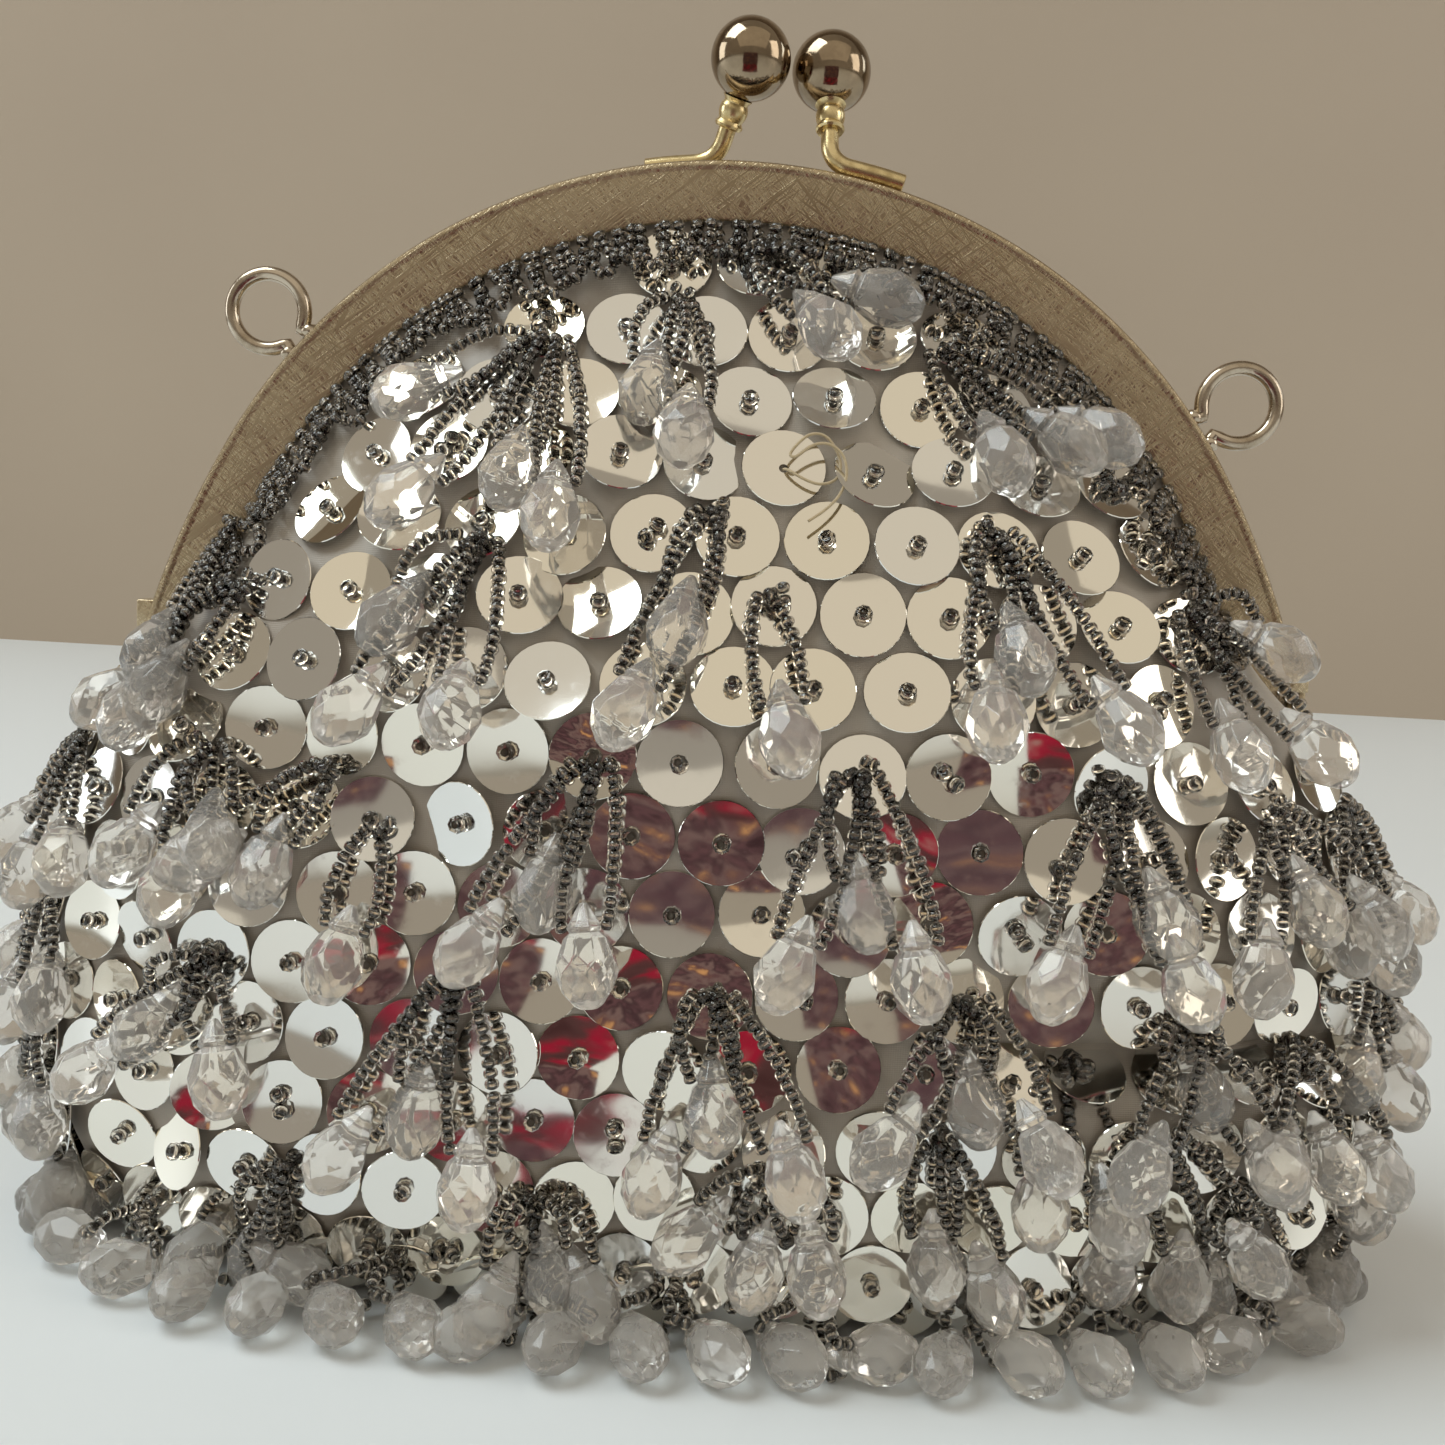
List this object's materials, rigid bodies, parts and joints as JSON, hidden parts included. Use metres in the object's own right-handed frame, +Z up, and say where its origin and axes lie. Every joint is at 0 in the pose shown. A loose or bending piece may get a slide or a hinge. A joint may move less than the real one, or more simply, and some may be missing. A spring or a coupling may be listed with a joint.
{
  "type": "evening bag",
  "caption": "Kiss-lock evening bag: arched hinged metal frame with ball clasp and chain rings, over a soft sequined pouch hung with glass bead tassels.",
  "frame": {"origin": "bottom centre of the bag, in the plane of the pouch's flat base", "axes": "+Z up, +X to the right seen from the front, front of the bag towards -Y; the frame hinge runs along X"},
  "size_m": [0.1838, 0.0978, 0.1584],
  "materials": {
    "frame_metal": "crosshatch engraved champagne gold plate",
    "ball_metal": "polished, slightly warm",
    "stem_brass": "worn gold plate",
    "ring_steel": "polished",
    "satin": "soft sheen satin",
    "lining_cloth": "satin weave",
    "paper_cord": "twisted paper cord",
    "seed_beads": "silver-lined glass",
    "glass_drops": "faceted, clear",
    "sequins": "mirror silver foil"
  },
  "bodies": {
    "pouch": {"front_tassel_c1": "glass_drops", "front_tassel_c2": "glass_drops", "front_tassel_c3": "glass_drops", "front_tassel_c4": "glass_drops", "front_tassel_d1": "glass_drops", "front_tassel_d2": "glass_drops", "front_tassel_d3": "glass_drops", "front_tassel_d4": "glass_drops", "front_tassel_d5": "glass_drops", "front_tassel_e1": "glass_drops", "front_tassel_e2": "glass_drops", "front_tassel_e3": "glass_drops", "front_tassel_e4": "glass_drops", "left_hinge_rivet": "ring_steel", "left_side_tassel": "glass_drops", "pouch_lining": "lining_cloth", "pouch_shell": "satin", "rear_tassel_c1": "glass_drops", "rear_tassel_c2": "glass_drops", "rear_tassel_c3": "glass_drops", "rear_tassel_c4": "glass_drops", "rear_tassel_d1": "glass_drops", "rear_tassel_d2": "glass_drops", "rear_tassel_d3": "glass_drops", "rear_tassel_d4": "glass_drops", "rear_tassel_d5": "glass_drops", "rear_tassel_e1": "glass_drops", "rear_tassel_e2": "glass_drops", "rear_tassel_e3": "glass_drops", "rear_tassel_e4": "glass_drops", "right_hinge_rivet": "ring_steel", "right_side_tassel": "glass_drops"},
    "front_frame": {"front_ball": "ball_metal", "front_ball_collar": "stem_brass", "front_ball_stem": "stem_brass", "front_bead_trim": "seed_beads", "front_piping_cord": "paper_cord", "front_rail": "frame_metal", "front_tassel_a1": "glass_drops", "front_tassel_a2": "glass_drops", "front_tassel_a3": "glass_drops", "front_yoke_lining": "lining_cloth", "front_yoke_shell": "satin", "left_chain_ring": "ring_steel", "right_chain_ring": "ring_steel"},
    "rear_frame": {"rear_ball": "ball_metal", "rear_ball_collar": "stem_brass", "rear_ball_stem": "stem_brass", "rear_bead_trim": "seed_beads", "rear_piping_cord": "paper_cord", "rear_rail": "frame_metal", "rear_tassel_a1": "glass_drops", "rear_tassel_a2": "glass_drops", "rear_tassel_a3": "glass_drops", "rear_yoke_lining": "lining_cloth", "rear_yoke_shell": "satin"}
  },
  "joints": [
    {"name": "front_frame_hinge", "type": "hinge", "parent": "pouch", "child": "front_frame", "pos_m": [0, 0, 0.076], "axis": [1, 0, 0], "range_deg": [0, 45]},
    {"name": "rear_frame_hinge", "type": "hinge", "parent": "pouch", "child": "rear_frame", "pos_m": [0, 0, 0.076], "axis": [1, 0, 0], "range_deg": [-45, 0]}
  ],
  "couplings": [
    {"joint": "rear_frame_hinge", "follows": "front_frame_hinge", "ratio": -1}
  ]
}
